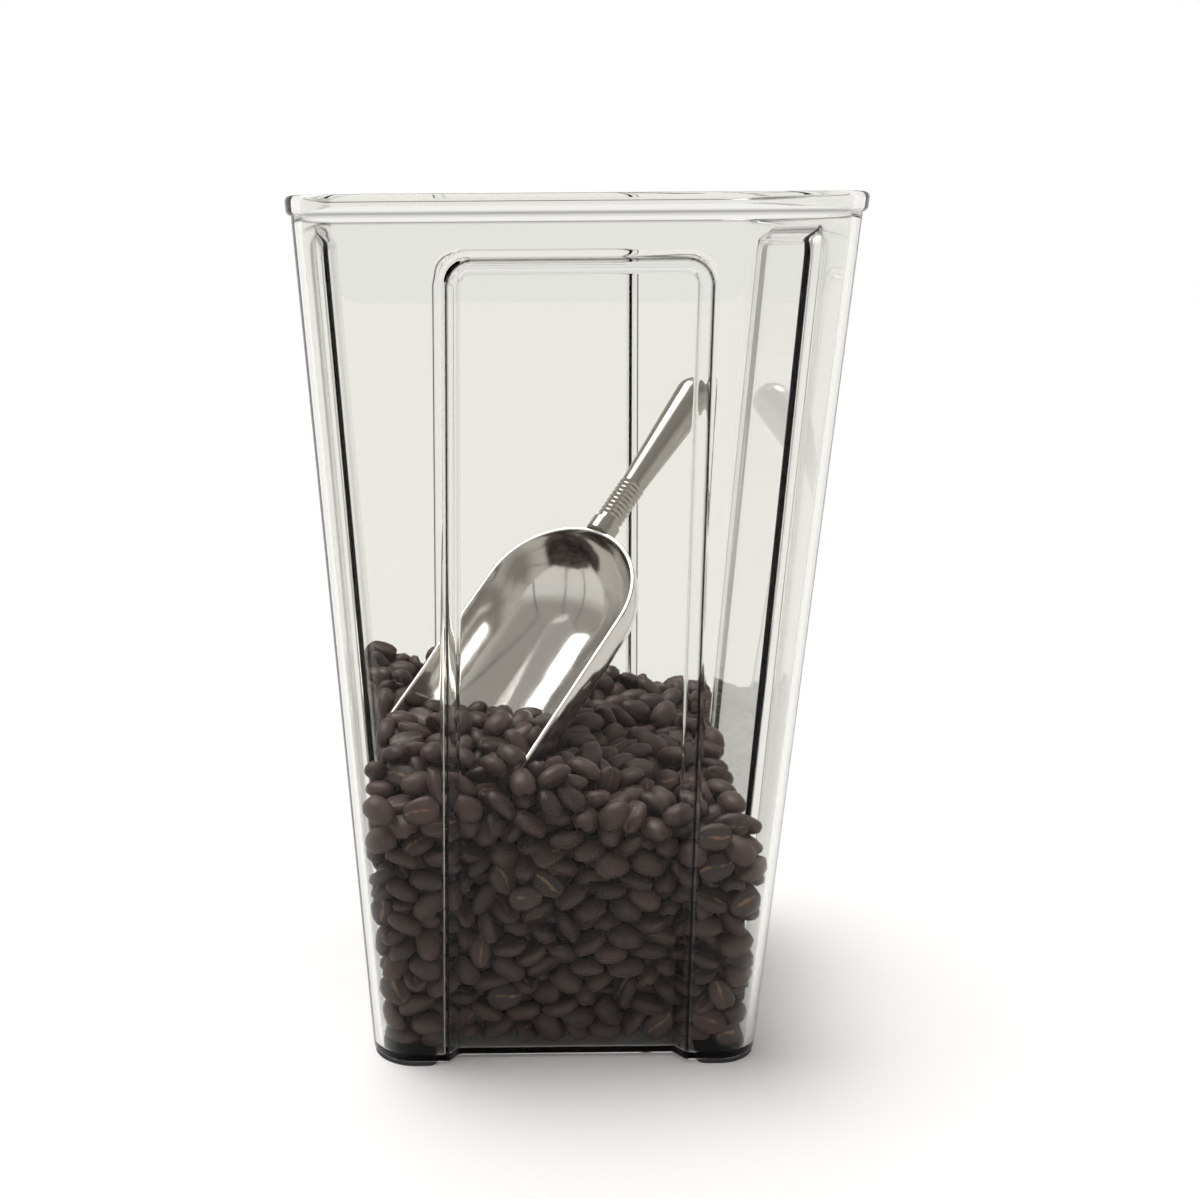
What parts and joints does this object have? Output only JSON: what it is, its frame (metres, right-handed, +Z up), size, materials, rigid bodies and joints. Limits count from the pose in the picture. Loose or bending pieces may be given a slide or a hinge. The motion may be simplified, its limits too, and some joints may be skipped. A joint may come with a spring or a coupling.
{
  "type": "coffee bean storage bin",
  "caption": "Clear tapered square bin with pushed-in wall panels, a beaded mouth and corner pads, part filled with roasted coffee beans and holding a lift-out metal scoop.",
  "frame": {"origin": "centre of the standing surface, under the middle of the bin", "axes": "+Z up, front of the bin towards -Y, +X to the right seen from the front"},
  "size_m": [0.16, 0.16, 0.26],
  "materials": {
    "clear_plastic": "clear, polished",
    "pad_rubber": "satin black",
    "roasted_bean": "dark roast, slight sheen",
    "polished_aluminium": "polished"
  },
  "bodies": {
    "bin": {"bin_shell": "clear_plastic", "foot_front_left": "pad_rubber", "foot_front_right": "pad_rubber", "foot_back_left": "pad_rubber", "foot_back_right": "pad_rubber", "bean_bed": "roasted_bean", "surface_beans": "roasted_bean"},
    "scoop": {"scoop_bowl": "polished_aluminium", "scoop_handle": "polished_aluminium", "scooped_beans": "roasted_bean"}
  },
  "joints": [
    {"name": "scoop_lift", "type": "slide", "parent": "bin", "child": "scoop", "axis": [0, 0, 1], "range_m": [0, 0.21]}
  ]
}
